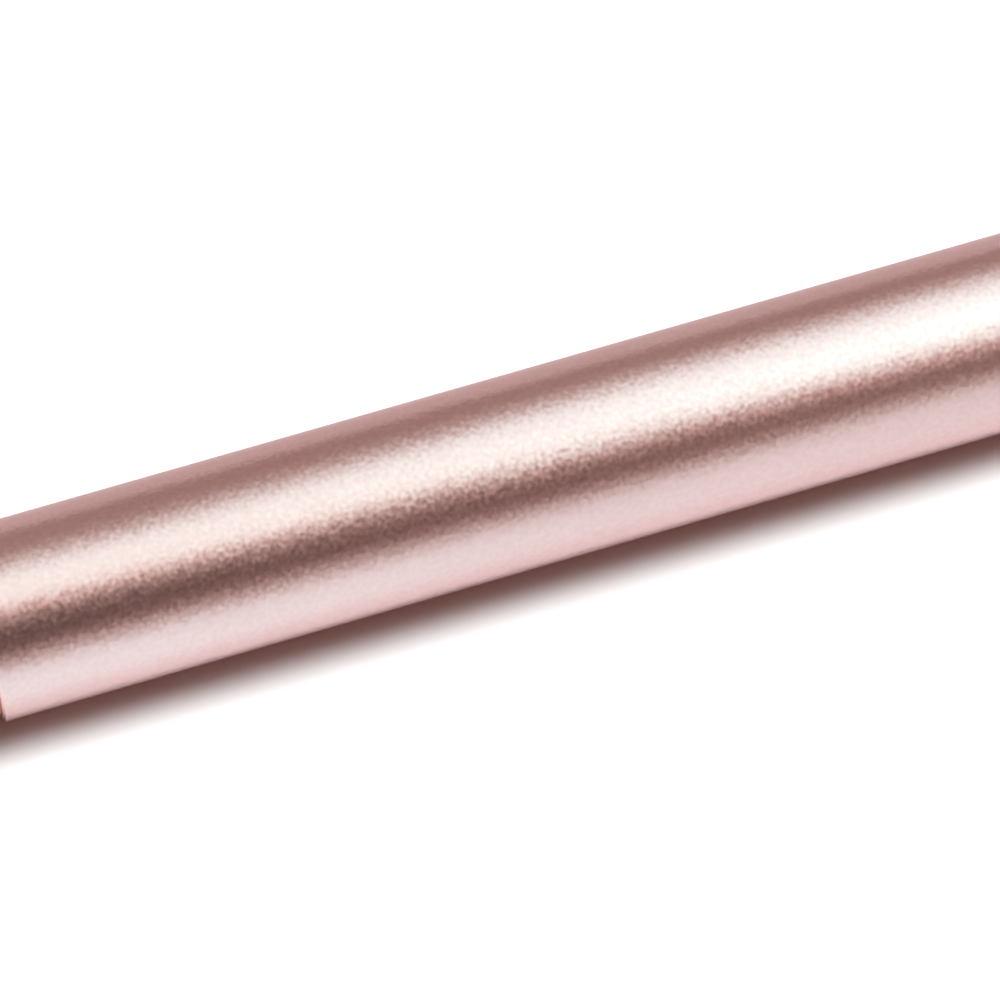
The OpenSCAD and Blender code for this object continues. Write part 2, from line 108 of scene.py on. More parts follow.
def eased(rows, closed, steps=4):
    """Each corner P between A and B becomes the curve (1-u)^2 S + 2u(1-u) P + u^2 E.

    S and E lie on the two sides, as far from P as the corner's easing allows."""
    point = rows[:, :2]
    before, after = np.roll(point, 1, 0), np.roll(point, -1, 0)
    if not closed:
        before[0], after[-1] = point[0], point[-1]
    gap_before = np.linalg.norm(before - point, axis=1)
    gap_after = np.linalg.norm(after - point, axis=1)
    reach = np.minimum(rows[:, 2], longest_ease * np.minimum(gap_before, gap_after))
    start = point + (before - point) * (reach / np.maximum(gap_before, no_length))[:, None]
    end = point + (after - point) * (reach / np.maximum(gap_after, no_length))[:, None]
    u = np.linspace(0, 1, steps + 1)[None, :, None]
    curve = (1 - u) ** 2 * start[:, None] + 2 * u * (1 - u) * point[:, None] + u ** 2 * end[:, None]
    curve = curve.reshape(-1, 2)
    step = np.linalg.norm(curve - np.roll(curve, 1, 0), axis=1)
    keep = step > sliver
    if not closed:
        keep[0] = True
    return curve[keep]


# %% Surfaces
def grid_faces(rows, columns, wrap_rows, wrap_columns):
    """Quads between neighbours of a grid of points, where a wrapped side meets its start."""
    i, j = np.meshgrid(np.arange(rows - (not wrap_rows)),
                       np.arange(columns - (not wrap_columns)), indexing="ij")
    k, m = (i + 1) % rows, (j + 1) % columns
    return np.stack([i * columns + j, i * columns + m, k * columns + m, k * columns + j],
                    -1).reshape(-1, 4)


def turned(outline, sides, thread):
    """Points (x, r sin a, axis - r cos a). A thread adds its depth at each (x, a) to r."""
    a = np.linspace(0, 2 * np.pi, sides, endpoint=False)[None, :]
    x, r = outline[:, :1] + 0 * a, outline[:, 1:2] + 0 * a
    if thread is not None:
        r = r + thread(x, r, a)
    return np.stack([x, r * np.sin(a), axis_z - r * np.cos(a)], -1)


merge_within = 1e-7     # metres between two points that are one
smooth_angle = 32       # degrees between two faces that still shade as one


def make_piece(name, points, faces, body):
    """A closed mesh from points and quads: doubles merged, faces outwards, creases kept."""
    mesh = bpy.data.meshes.new(name)
    mesh.from_pydata(points.reshape(-1, 3).tolist(), [], faces.tolist())
    work = bmesh.new()
    work.from_mesh(mesh)
    bmesh.ops.remove_doubles(work, verts=work.verts, dist=merge_within)
    bmesh.ops.dissolve_degenerate(work, edges=work.edges, dist=sliver)
    bmesh.ops.recalc_face_normals(work, faces=work.faces)
    volume = work.calc_volume(signed=True)
    open_edges = sum(1 for edge in work.edges if not edge.is_manifold)
    work.to_mesh(mesh)
    work.free()
    mesh.polygons.foreach_set("use_smooth", np.ones(len(mesh.polygons), bool))
    mesh.set_sharp_from_angle(angle=math.radians(smooth_angle))
    piece = bpy.data.objects.new(name, mesh)
    bpy.context.scene.collection.objects.link(piece)
    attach(piece, body)
    print(f"{name}: {len(mesh.polygons)} faces, {volume / mm ** 3:.1f} mm3, {open_edges} open")
    return piece


def make_turned(name, rows, closed, body, sides=192, thread=None):
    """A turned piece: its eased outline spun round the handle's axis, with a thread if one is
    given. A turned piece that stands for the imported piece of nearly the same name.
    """
    outline = eased(rows, closed)
    points = turned(outline, sides, thread)
    return make_piece(name, points, grid_faces(len(outline), sides, closed, True), body)


def face_centres(piece):
    """Place along the handle and distance from its axis of every face's centre."""
    centre = np.empty(len(piece.data.polygons) * 3)
    piece.data.polygons.foreach_get("center", centre)
    centre = centre.reshape(-1, 3)
    return centre[:, 0], np.hypot(centre[:, 1], centre[:, 2] - axis_z)


# %% [markdown]
# ## Shader maths
# A procedural finish is arithmetic on the place of a point. Wiring Math nodes by hand hides
# that arithmetic, so this small class lets Python's own operators add them.

# %% Values in a node tree
class Value:
    """A socket that Python's operators work on, each adding one Math node."""

    def __init__(self, nodes_of, socket):
        self.nodes_of, self.socket = nodes_of, socket

    def _math(self, operation, first, second=0.0):
        return self.nodes_of.add("ShaderNodeMath", {"operation": operation}, {0: first, 1: second})

    def __add__(self, other):
        return self._math("ADD", self, other)

    def __radd__(self, other):
        return self._math("ADD", other, self)

    def __sub__(self, other):
        return self._math("SUBTRACT", self, other)

    def __rsub__(self, other):
        return self._math("SUBTRACT", other, self)

    def __mul__(self, other):
        return self._math("MULTIPLY", self, other)

    def __rmul__(self, other):
        return self._math("MULTIPLY", other, self)

    def __gt__(self, other):
        return self._math("GREATER_THAN", self, other)

    def sine(self):
        """The sine of an angle in radians."""
        return self._math("SINE", self)

    def size(self):
        """The value without its sign."""
        return self._math("ABSOLUTE", self)

    def step(self, low, high):
        """0 below low and 1 above high, with a smooth ramp between them."""
        return self.nodes_of.add("ShaderNodeMapRange", {"interpolation_type": "SMOOTHSTEP"},
                                 {"Value": self, "From Min": low, "From Max": high})


class Nodes:
    """A node tree with one method that adds any node."""

    def __init__(self, tree):
        self.tree = tree
        tree.nodes.clear()

    def add(self, kind, settings=None, sockets=None, out=0):
        """Adds a node, sets it up, fills or links its sockets and returns one output."""
        node = self.tree.nodes.new(kind)
        for name, setting in (settings or {}).items():
            setattr(node, name, setting)
        for key, value in (sockets or {}).items():
            if isinstance(value, Value):
                self.tree.links.new(value.socket, node.inputs[key])
            else:
                node.inputs[key].default_value = value
        return Value(self, node.outputs[out]) if node.outputs else None

    def place(self):
        """The point's place on the object, in metres, as a vector."""
        return self.add("ShaderNodeTexCoord", out="Object")

    def ray(self, kind):
        """1 where the ray that meets the point is of this kind, or its number of bounces."""
        return self.add("ShaderNodeLightPath", out=kind)

    def parts(self, vector):
        """X, Y and Z of a vector."""
        x = self.add("ShaderNodeSeparateXYZ", None, {0: vector})
        return [Value(self, output) for output in x.socket.node.outputs]

    def noise(self, vector, scale, detail):
        """Noise from 0 to 1 whose largest blobs are about 1 / scale metres."""
        return self.add("ShaderNodeTexNoise", {"noise_dimensions": "3D"},
                        {"Vector": vector, "Scale": scale, "Detail": detail})

    def blend(self, factor, first, second):
        """Colour first where factor is 0 and second where it is 1."""
        return self.add("ShaderNodeMix", {"data_type": "RGBA"},
                        {0: factor, 6: first, 7: second}, out=2)

    def bump(self, height, distance):
        """A bump as deep as distance where height goes from 0 to 1."""
        return self.add("ShaderNodeBump", None,
                        {"Strength": 1.0, "Distance": distance, "Height": height})

    def tilted(self, place, scale, amount):
        """The surface's normal plus amount times a noise vector: each dimple leans its own way."""
        lean = self.add("ShaderNodeTexNoise", {"noise_dimensions": "3D"},
                        {"Vector": place, "Scale": scale, "Detail": 0.0}, out="Color")
        centred = self.add("ShaderNodeVectorMath", {"operation": "MULTIPLY_ADD"},
                           {0: lean, 1: (amount,) * 3, 2: (-0.5 * amount,) * 3})
        upright = self.add("ShaderNodeNewGeometry", out="Normal")
        summed = self.add("ShaderNodeVectorMath", {"operation": "ADD"}, {0: upright, 1: centred})
        return self.add("ShaderNodeVectorMath", {"operation": "NORMALIZE"}, {0: summed})


def colour(red, green, blue):
    """A linear colour with its alpha."""
    return (red, green, blue, 1.0)


def finish(name):
    """A new material and its empty node tree."""
    material = bpy.data.materials.new(name)
    material.use_nodes = True
    return material, Nodes(material.node_tree)


def close(tree, sockets):
    """Adds the Principled shader with these sockets and the output."""
    shader = tree.add("ShaderNodeBsdfPrincipled", None, sockets)
    tree.add("ShaderNodeOutputMaterial", None, {"Surface": shader})


# %% [markdown]
# ## The satin handle
# The tube and the cap are blasted with fine beads and then anodised in rose. The blast
# leaves shallow dimples under half a millimetre across. They hardly show in flat light, but
# where a highlight fades they break its edge into grain. The picture shows just that, so
# the grain is hardly a colour: each dimple leans the surface a little its own way. A metal's
# roughness stays on one side of 0.274 all over. The denoiser takes what is smoother for a
# mirror, and a pattern that crosses that line comes out with specks.

# %% Satin rose aluminium
def satin_rose():
    """Metal in pale rose: a frost of dimples that lean each their own way."""
    material, tree = finish("satin_rose")
    place = tree.place()
    cloud = tree.noise(place, 60.0, 3.0)
    dimples = tree.noise(place, 2200.0, 0.0)
    close(tree, {
        "Base Color": tree.blend(cloud.step(0.3, 0.7) * 0.3 + dimples.step(0.25, 0.75) * 0.7,
                                 colour(0.785, 0.59, 0.575), colour(0.835, 0.64, 0.625)),
        "Metallic": 1.0,
        "Roughness": 0.276 + dimples * 0.03,
        "Normal": tree.tilted(place, 2600.0, 0.12),
    })
    return material


def bright_cut():
    """The narrow cut that a diamond tool leaves on an anodised edge: bare and bright, tinted rose
    as a painted reflection of the copper and rose metal beside it.
    """
    material, tree = finish("bright_cut")
    x = tree.parts(tree.place())[0]
    lines = tree.noise(tree.add("ShaderNodeCombineXYZ", None, {"X": x}), 40000.0, 1.0)
    close(tree, {
        # Rose tint: painted reflection of the copper and rose metal beside the cut
        "Base Color": colour(0.93, 0.74, 0.69),
        "Metallic": 1.0,
        "Roughness": 0.14 + lines * 0.08,
        "Normal": tree.bump(lines, 0.001 * mm),
    })
    return material


# %% Polished and turned metals
def polished_rose():
    """Plated and buffed: nearly a mirror, with the faint waves and hairs of a buffing wheel."""
    material, tree = finish("polished_rose")
    place = tree.place()
    wave = tree.noise(place, 180.0, 2.0)
    hairs = tree.noise(tree.add("ShaderNodeMapping", None, {
        "Vector": place, "Scale": (9000.0, 260.0, 9000.0)}), 1.0, 2.0)
    close(tree, {
        "Base Color": colour(0.87, 0.60, 0.53),
        "Metallic": 1.0,
        "Roughness": 0.07 + hairs * 0.07,
        "Normal": tree.bump(wave * 0.6 + hairs * 0.02, 0.02 * mm),
    })
    return material


def turned_metal(name, base, pitch, roughness):
    """Metal as the lathe leaves it: fine rings, one for each turn of the feed."""
    material, tree = finish(name)
    x = tree.parts(tree.place())[0]
    rings = (x * (2 * math.pi / pitch)).sine() * 0.5 + 0.5
    uneven = tree.noise(tree.add("ShaderNodeCombineXYZ", None, {"X": x}), 9000.0, 2.0)
    close(tree, {
        "Base Color": colour(*base),
        "Metallic": 1.0,
        "Roughness": roughness + uneven * 0.12,
        "Normal": tree.bump(rings * 0.4 + uneven * 0.6, 0.006 * mm),
    })
    return material


def plain_metal(name, base, roughness, grain=3000.0, depth=0.004 * mm):
    """Stamped, drawn or sintered metal with a fine even grain."""
    material, tree = finish(name)
    noise = tree.noise(tree.place(), grain, 3.0)
    dull = tuple(0.93 * v for v in base)
    close(tree, {
        "Base Color": tree.blend(noise.step(0.35, 0.65), colour(*dull), colour(*base)),
        "Metallic": 1.0,
        "Roughness": roughness + noise * 0.1,
        "Normal": tree.bump(noise, depth),
    })
    return material


def striped_metal(name, base, dark, pitch, roughness):
    """Stacked sheets or wound wire: stripes across the handle, with a groove at each."""
    material, tree = finish(name)
    x = tree.parts(tree.place())[0]
    stripe = (x * (2 * math.pi / pitch)).sine() * 0.5 + 0.5
    close(tree, {
        "Base Color": tree.blend(stripe.step(0.05, 0.5), colour(*dark), colour(*base)),
        "Metallic": 0.9,
        "Roughness": roughness,
        "Normal": tree.bump(stripe, 0.03 * mm),
    })
    return material


# %% Plastics and rubbers
def soft_plastic(name, base, roughness, grain=2500.0, depth=0.006 * mm, coat=0.0):
    """Moulded plastic, rubber or film with a fine texture and an uneven gloss."""
    material, tree = finish(name)
    noise = tree.noise(tree.place(), grain, 3.0)
    cloud = tree.noise(tree.place(), 150.0, 2.0)
    dark = tuple(0.85 * v for v in base)
    close(tree, {
        "Base Color": tree.blend(cloud.step(0.3, 0.7), colour(*dark), colour(*base)),
        "Roughness": roughness + cloud * 0.1,
        "Coat Weight": coat,
        "Coat Roughness": 0.08,
        "Normal": tree.bump(noise, depth),
    })
    return material


# %% The finishes of this bar
satin = satin_rose()
cut_edge = bright_cut()
polished = polished_rose()
copper = turned_metal("copper_brass", (0.80, 0.43, 0.29), 0.09 * mm, 0.28)
tube_bore = turned_metal("tube_bore", (0.80, 0.74, 0.72), 0.12 * mm, 0.32)
finishes = {
    "satin_rose": satin,
    "polished_rose": polished,
    "copper_brass": copper,
    "bronze": plain_metal("bronze", (0.62, 0.42, 0.2), 0.45, 6000.0, 0.02 * mm),
    "copper_wire": striped_metal("copper_wire", (0.75, 0.33, 0.13), (0.3, 0.1, 0.04),
                                 0.16 * mm, 0.28),
    "contact_metal": plain_metal("contact_metal", (0.83, 0.77, 0.58), 0.28),
    "zinc_steel": plain_metal("zinc_steel", (0.66, 0.68, 0.72), 0.3),
    "nickel_steel": plain_metal("nickel_steel", (0.76, 0.74, 0.70), 0.17),
    "lamination_steel": striped_metal("lamination_steel", (0.46, 0.46, 0.48),
                                      (0.2, 0.2, 0.21), 0.5 * mm, 0.35),
    "cell_metal": plain_metal("cell_metal", (0.80, 0.80, 0.80), 0.17),
    "cell_label": soft_plastic("cell_label", (0.035, 0.045, 0.07), 0.28, coat=0.6),
    "ferrite": soft_plastic("ferrite", (0.05, 0.05, 0.055), 0.6, 5000.0, 0.03 * mm),
    "white_plastic": soft_plastic("white_plastic", (0.82, 0.80, 0.74), 0.42),
    "black_plastic": soft_plastic("black_plastic", (0.018, 0.018, 0.02), 0.45),
    "gasket": soft_plastic("gasket", (0.72, 0.70, 0.66), 0.5),
    "dark_rubber": soft_plastic("dark_rubber", (0.015, 0.015, 0.016), 0.55),
    "red_lead": soft_plastic("red_lead", (0.55, 0.03, 0.02), 0.35),
    "black_lead": soft_plastic("black_lead", (0.012, 0.012, 0.013), 0.35),
}

# %% [markdown]
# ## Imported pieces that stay
# The motor, the chassis and the rest of what is sealed inside are right as they are. Their
# meshes come as loose triangles, so a Weld joins them and an Edge Split keeps their creases
# while the rest shades smoothly. Nothing of their shape changes.

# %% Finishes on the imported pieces
crease_angle = 30       # degrees between two faces that meet in a visible edge
slot_of = {part["node"]: part["material_slot"] for part in frame["record"]["subparts"]}
for node_name, node in nodes.items():
    node.data.materials.clear()
    node.data.materials.append(finishes[slot_of[node_name]])
    node.data.polygons.foreach_set("use_smooth", np.ones(len(node.data.polygons), bool))
    weld = node.modifiers.new("weld", "WELD")
    weld.merge_threshold = 1e-6
    crease = node.modifiers.new("crease", "EDGE_SPLIT")
    crease.split_angle = math.radians(crease_angle)
print(len(finishes), "finishes on", len(nodes), "packed pieces")


def dress(piece, node_name, *more):
    """The piece stands for a packed one and takes its finish, then any further ones."""
    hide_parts(node_name)
    for material in (finishes[slot_of[node_name]], *more):
        piece.data.materials.append(material)


def finish_faces(piece, index, where):
    """Gives the faces picked by a true or false array the piece's material of that index."""
    current = np.zeros(len(piece.data.polygons), np.int32)
    piece.data.polygons.foreach_get("material_index", current)
    current[where] = index
    piece.data.polygons.foreach_set("material_index", current)


# %% [markdown]
# ## Tube, cap and plug
# The tube is plain outside. Its two edges carry the bright cut, and its tail end has a land
# for the seal and then a fine thread. A thread is one ridge that climbs by its pitch in
# each turn, so its height at a point depends on place along the handle minus a share of
# the angle. That makes a true screw with no spiral modelled by hand.

# %% A thread as a formula
thread_pitch = 1.0 * mm
run_in = 0.6 * mm       # length over which the ridge rises at each end of the thread
steepness, flat_root = 1.35, 0.15
row_step = 0.07 * mm
hair = 0.02 * mm


def ridge(start, end, depth, rows_r):
    """Depth times a wave of x / pitch - angle / turn, on the rows of one radius.

    The wave is a triangle with its root and crest cut flat, and fades at both ends of the
    thread. A negative depth cuts inwards."""
    def height(x, r, angle):
        phase = (x / thread_pitch - angle / (2 * np.pi)) % 1.0
        triangle = 1 - np.abs(2 * phase - 1)
        wave = np.clip(steepness * triangle - flat_root, 0, 1)
        fade = np.clip(np.minimum(x - start, end - x) / run_in, 0, 1)
        on_thread = (x > start) & (x < end) & (np.abs(r - rows_r) < hair)
        return depth * wave * fade * on_thread
    return height


def threaded_rows(start, end, radius):
    """Closely spaced rows at one radius, so that the ridges have room to show."""
    x = np.linspace(start, end, max(2, round(abs(end - start) / row_step)))
    return np.stack([x, np.full_like(x, radius), np.zeros_like(x)], 1)


# %% The handle tube
wall = 0.7 * mm
edge_cut = 0.25 * mm
bore_r = handle_r - wall
mouth_rise = 0.15 * mm
mouth_r = bore_r + mouth_rise
mouth_depth = 8.8 * mm
land = 2.3 * mm         # plain ring for the seal, before the thread
tube_ridge = 0.28 * mm
fine = 0.03 * mm        # easing of a sharp edge

tube_rows = np.vstack([
    corners((tube_back, mouth_r, fine), (tube_back, handle_r - edge_cut, fine),
            (tube_back + edge_cut, handle_r, fine), (tube_front - edge_cut, handle_r, fine),
            (tube_front, handle_r - edge_cut, fine), (tube_front, bore_r, fine),
            (tube_back + mouth_depth + mouth_rise, bore_r)),
    threaded_rows(tube_back + mouth_depth, tube_back + land, mouth_r),
])
handle = make_turned("satin_tube", tube_rows, True, "handle", 256,
                     ridge(tube_back + land, tube_back + mouth_depth, tube_ridge, mouth_r))
dress(handle, "handle_tube", cut_edge, tube_bore)
x, r = face_centres(handle)
at_edge = (x < tube_back + edge_cut) | (x > tube_front - edge_cut)
finish_faces(handle, 1, at_edge & (r > handle_r - edge_cut))
finish_faces(handle, 2, r < handle_r - wall / 2)

# %% The tail cap
cap_wall = 1.1 * mm
cap_floor = 3 * mm
cap_round = 1.2 * mm
groove_places = [5.2 * mm, 6.6 * mm]
groove_width, groove_depth = 0.5 * mm, 0.25 * mm


def groove_rows(place_x):
    """A turned groove: down one slope, round its root and up the other."""
    half = groove_width / 2
    return corners((place_x - half, handle_r, fine), (place_x, handle_r - groove_depth, 3 * fine),
                   (place_x + half, handle_r, fine))


cap_rows = np.vstack([
    corners((cap_back, 0.0)),
    arc_rows((cap_back + cap_round, handle_r - cap_round), cap_round, -90, 0, 12),
    *(groove_rows(cap_back + place) for place in groove_places),
    corners((cap_front - edge_cut, handle_r, fine), (cap_front, handle_r - edge_cut, fine),
            (cap_front, handle_r - cap_wall, fine), (cap_back + cap_floor, handle_r - cap_wall),
            (cap_back + cap_floor, 0.0)),
])
cap = make_turned("satin_cap", cap_rows, False, "tail", 256)
dress(cap, "tail_cap", cut_edge)
x, r = face_centres(cap)
finish_faces(cap, 1, (x > cap_front - edge_cut) & (r > handle_r - edge_cut - 2 * fine))

# %% [markdown]
# The plug is brass, pressed into the cap. Only its flange shows, as the copper line in the
# seam, until the cap comes off. Behind the flange sit the seal's groove and the thread.

# %% The thread plug
fit = 0.03 * mm         # clearance of a seated piece
seam_depth = 0.15 * mm
flange_r = handle_r - seam_depth
flange_front = tube_back - (thread_pitch / 4 + hair)
screw_r = mouth_r - 0.05 * mm
screw_ridge = -0.3 * mm
screw_chamfer = 0.3 * mm
pressed_r = handle_r - cap_wall - fit
pressed_chamfer = 0.4 * mm
plug_bore_r = 4.5 * mm
spring_seat = plug_front - 1.5 * mm
spring_bed_r = 5.7 * mm
seal_x = tube_back + 1 * mm
seal_wire = 0.92 * mm
seal_bed_r = mouth_r - seal_wire - fit
seal_bed_back, seal_bed_front = seal_x - 0.6 * mm, seal_x + 0.6 * mm
apart = 0.05 * mm       # keeps the thread's end rows off the corners beside them

plug_rows = np.vstack([
    corners((plug_back, plug_bore_r), (plug_back, pressed_r - pressed_chamfer),
            (plug_back + pressed_chamfer, pressed_r), (cap_front, pressed_r),
            (cap_front, flange_r, fine), (flange_front, flange_r, fine), (flange_front, screw_r),
            (seal_bed_back, screw_r, fine), (seal_bed_back, seal_bed_r, fine),
            (seal_bed_front, seal_bed_r, fine), (seal_bed_front, screw_r, fine)),
    threaded_rows(seal_bed_front + 2 * apart, plug_front - screw_chamfer - apart, screw_r),
    corners((plug_front - screw_chamfer, screw_r, fine),
            (plug_front, screw_r - screw_chamfer, fine),
            (plug_front, spring_bed_r, fine), (spring_seat, spring_bed_r),
            (spring_seat, plug_bore_r, fine)),
])
plug = make_turned("copper_plug", plug_rows, True, "tail", 256,
                   ridge(seal_bed_front, plug_front, screw_ridge, screw_r))
dress(plug, "thread_plug")

# %% The seal, a ring of round section
def ring_points(x, ring_r, wire_r, around=160, across=20):
    """A torus: the centre line's radius plus wire_r cos b, and wire_r sin b along the handle."""
    b = np.linspace(0, 2 * np.pi, across, endpoint=False)[:, None]
    a = np.linspace(0, 2 * np.pi, around, endpoint=False)[None, :]
    r = ring_r + wire_r * np.cos(b) + 0 * a
    return np.stack([x + wire_r * np.sin(b) + 0 * a, r * np.sin(a), axis_z - r * np.cos(a)], -1)


seal_points = ring_points(seal_x, mouth_r - hair - seal_wire / 2, seal_wire / 2)
seal = make_piece("seal_ring", seal_points, grid_faces(*seal_points.shape[:2], True, True),
                  "seal")
dress(seal, "cap_seal")

# %% [markdown]
# ## Spring and cell
# The spring is conical, so that it can lie flat in itself when the cap is screwed home. Its
# first and last turns are closed: they lie level and give the plug and the cell a flat
# ring to bear on. It gives by a quarter of a millimetre as the cap turns to ON.

# %% The contact spring
def tube_along(path, radius, sides):
    """Rings of radius cos b * N + sin b * B about each point of a path, square to it."""
    tangent = np.gradient(path, axis=0)
    tangent /= np.linalg.norm(tangent, axis=1)[:, None]
    outward = path - np.array([0, 0, axis_z])
    outward[:, 0] = 0
    across = np.cross(tangent, outward)
    across /= np.linalg.norm(across, axis=1)[:, None]
    up = np.cross(across, tangent)
    b = np.linspace(0, 2 * np.pi, sides, endpoint=False)[None, :, None]
    return path[:, None] + radius * (np.cos(b) * up[:, None] + np.sin(b) * across[:, None])


def capped(points):
    """Closes a tube with a point in the middle of each of its ends."""
    start = np.repeat(points[:1].mean(1, keepdims=True), points.shape[1], 1)
    end = np.repeat(points[-1:].mean(1, keepdims=True), points.shape[1], 1)
    return np.concatenate([start, points, end])


spring_wire = 0.7 * mm
drawn_r = spring_wire / 2 - 0.005 * mm      # a hair thinner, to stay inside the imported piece
spring_length = 6.5 * mm
spring_turns = 5
closed_turns = 0.8      # part of a turn that lies level at each end
points_per_turn = 72
wire_sides = 14
back_r, front_r = 5 * mm, 3 * mm
closed_share = closed_turns / spring_turns
t = np.linspace(0, 1, points_per_turn * spring_turns)
climb = np.clip((t - closed_share) / (1 - 2 * closed_share), 0, 1)
coil_r = back_r + (front_r - back_r) * climb
turn = 2 * np.pi * spring_turns * t
spring_path = np.stack([
    spring_seat + spring_wire / 2 + (spring_length - spring_wire) * climb,
    coil_r * np.sin(turn), axis_z - coil_r * np.cos(turn)], 1)
spring_points = capped(tube_along(spring_path, drawn_r, wire_sides))
spring_faces = grid_faces(len(spring_points), wire_sides, False, True)
spring = make_piece("conical_spring", spring_points, spring_faces, "spring")
dress(spring, "contact_spring")
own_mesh(spring)

# %% The cell's film
jacket_back, jacket_front = (corner.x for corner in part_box("cell_jacket"))
cell_r = (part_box("cell_jacket")[1].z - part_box("cell_jacket")[0].z) / 2
film = 0.1 * mm
film_round, can_round = 0.35 * mm, 0.25 * mm
lip_r = cell_r - 0.9 * mm

jacket_rows = corners(
    (jacket_back, lip_r, fine), (jacket_back, cell_r, film_round),
    (jacket_front, cell_r, film_round), (jacket_front, lip_r, fine),
    (jacket_front - film, lip_r, fine), (jacket_front - film, cell_r - film, can_round),
    (jacket_back + film, cell_r - film, can_round), (jacket_back + film, lip_r, fine))
jacket = make_turned("cell_film", jacket_rows, True, "cell")
dress(jacket, "cell_jacket")

# %% The cell's can and terminal
can_back, can_front = (corner.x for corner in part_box("cell_can"))
nub_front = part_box("cell_terminal")[1].x
can_r = cell_r - film - 0.01 * mm
plate_r, plate_t = 5.8 * mm, 0.5 * mm
plate_bed_r = plate_r + 0.1 * mm
pressed = 0.1 * mm      # easing of an edge pressed from sheet
dish_x = can_back + 0.12 * mm
dish_r, dish_rim_r = 3.2 * mm, 3.5 * mm
boss_r, boss_foot_r = 4.6 * mm, 5.0 * mm
can_rows = corners(
    (dish_x, 0.0), (dish_x, dish_r, fine), (can_back, dish_rim_r, fine),
    (can_back, boss_r, pressed), (jacket_back + film, boss_foot_r, pressed),
    (jacket_back + film, can_r, can_round), (can_front, can_r, can_round),
    (can_front, plate_bed_r, fine), (can_front - plate_t, plate_bed_r), (can_front - plate_t, 0.0))
can = make_turned("cell_body", can_rows, False, "cell")
dress(can, "cell_can")

plate_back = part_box("cell_terminal")[0].x
plate_face = plate_back + plate_t
nub_r = 2.7 * mm
nub_foot, nub_foot_round = 0.3 * mm, 0.2 * mm
nub_round = 0.3 * mm
nub_rows = corners(
    (plate_back, 0.0), (plate_back, plate_r), (plate_face, plate_r, pressed),
    (plate_face, nub_r + nub_foot, nub_foot_round), (plate_face + nub_foot, nub_r, nub_foot_round),
    (nub_front, nub_r, nub_round), (nub_front, 0.0))
nub = make_turned("cell_nub", nub_rows, False, "cell", 128)
dress(nub, "cell_terminal")

# %% [markdown]
# ## The neck
# The neck is one turned piece of brass, plated and polished. Behind its shoulder a spigot
# sits in the tube. In front the shoulder rolls over into a long hollow flare, an arc that
# meets the stem without a corner, so a highlight runs down it in one line. On the stem's
# end stands a flat-sided key that keeps the bar from turning: it is the same turned
# surface, with a radius that follows a rectangle instead of a circle.

# %% The key as a radius
key_half = np.array([3.65, 2.8]) * mm
key_rows_r = 3 * mm
key_foot = 1e-6         # metres from the seat's face to the key's first row
nearly_zero = 1e-6


def key_radius(a, half):
    """Distance from the axis to a rectangle in direction a: the nearer of its two sides."""
    to_sides = half[0] / np.maximum(np.abs(np.sin(a)), nearly_zero)
    to_flats = half[1] / np.maximum(np.abs(np.cos(a)), nearly_zero)
    return np.minimum(to_sides, to_flats)


def keyed(seat, outer_r, inner_r, half):
    """Rows that stand in front of the seat, between two radii, take the key's outline."""
    def shape(x, r, a):
        on_key = (x > seat + key_foot / 2) & (r > inner_r) & (r < outer_r)
        return np.where(on_key, key_radius(a, half) - r, 0)
    return shape


# %% The neck
stem_r = 4.25 * mm
spigot_r = bore_r - fit
boot_r = 6.5 * mm + fit
step_width, band_width = 0.5 * mm, 1.1 * mm
spigot_ease, band_ease = 0.1 * mm, 0.12 * mm
gasket_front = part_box("neck_gasket")[1].x
band_back = gasket_front + step_width
shoulder_round = 2.5 * mm
shoulder = (band_back + band_width, handle_r - shoulder_round)
flare_angle = 24
flare_sine, flare_cosine = math.sin(math.radians(flare_angle)), math.cos(math.radians(flare_angle))
leave_x = shoulder[0] + shoulder_round * flare_sine
leave_r = shoulder[1] + shoulder_round * flare_cosine
flare_r = (leave_r - stem_r) / (1 - flare_cosine)
flare_end = leave_x + flare_r * flare_sine
key_length = 1.4 * mm
key_front = neck_front
seat_x = key_front - key_length
pocket_front = tube_front + 0.8 * mm
chamber_front, chamber_r = tube_front + 7.3 * mm, 5 * mm
web, recess_r = chamber_front + 3 * mm, 3.2 * mm
screw_hole_r = 1.6 * mm

neck_rows = np.vstack([
    corners((neck_back, boot_r, fine), (neck_back, spigot_r, spigot_ease),
            (gasket_front, spigot_r), (gasket_front, flange_r, fine),
            (band_back, flange_r, fine), (band_back, handle_r, band_ease)),
    arc_rows(shoulder, shoulder_round, 0, flare_angle, 12),
    arc_rows((flare_end, stem_r + flare_r), flare_r, 180 + flare_angle, 180, 60),
    corners((seat_x, stem_r, fine), (seat_x + key_foot, key_rows_r), (key_front, key_rows_r),
            (key_front, screw_hole_r), (web, screw_hole_r), (web, recess_r),
            (chamber_front, recess_r), (chamber_front, chamber_r), (pocket_front, chamber_r),
            (pocket_front, boot_r)),
])
neck = make_turned("polished_neck", neck_rows, True, "handle", 256,
                   keyed(seat_x, key_rows_r + 0.5 * mm, key_rows_r - 1 * mm, key_half))
dress(neck, "neck")

# %% The ring under the shoulder
ring_edge_r = flange_r - 0.05 * mm
ring_crown_r = flange_r + hair
gasket_rows = corners(
    (tube_front, bore_r), (tube_front, ring_edge_r, fine),
    ((tube_front + gasket_front) / 2, ring_crown_r, 0.1 * mm),
    (gasket_front, ring_edge_r, fine), (gasket_front, bore_r))
gasket = make_turned("soft_ring", gasket_rows, True, "handle")
dress(gasket, "neck_gasket")

# %% [markdown]
# ## The cross bar
# The bar is turned too, but about the other axis, and the stem sits in a round socket in its
# back. A boolean cut would leave slivers that catch the light, so the surface is a grid
# round the bar with a window left open, and a fan of quads leads from the window's square
# edge to the socket's round one. Every point of the fan lies on the bar's own cylinder, so
# the polish runs across it without a dent.

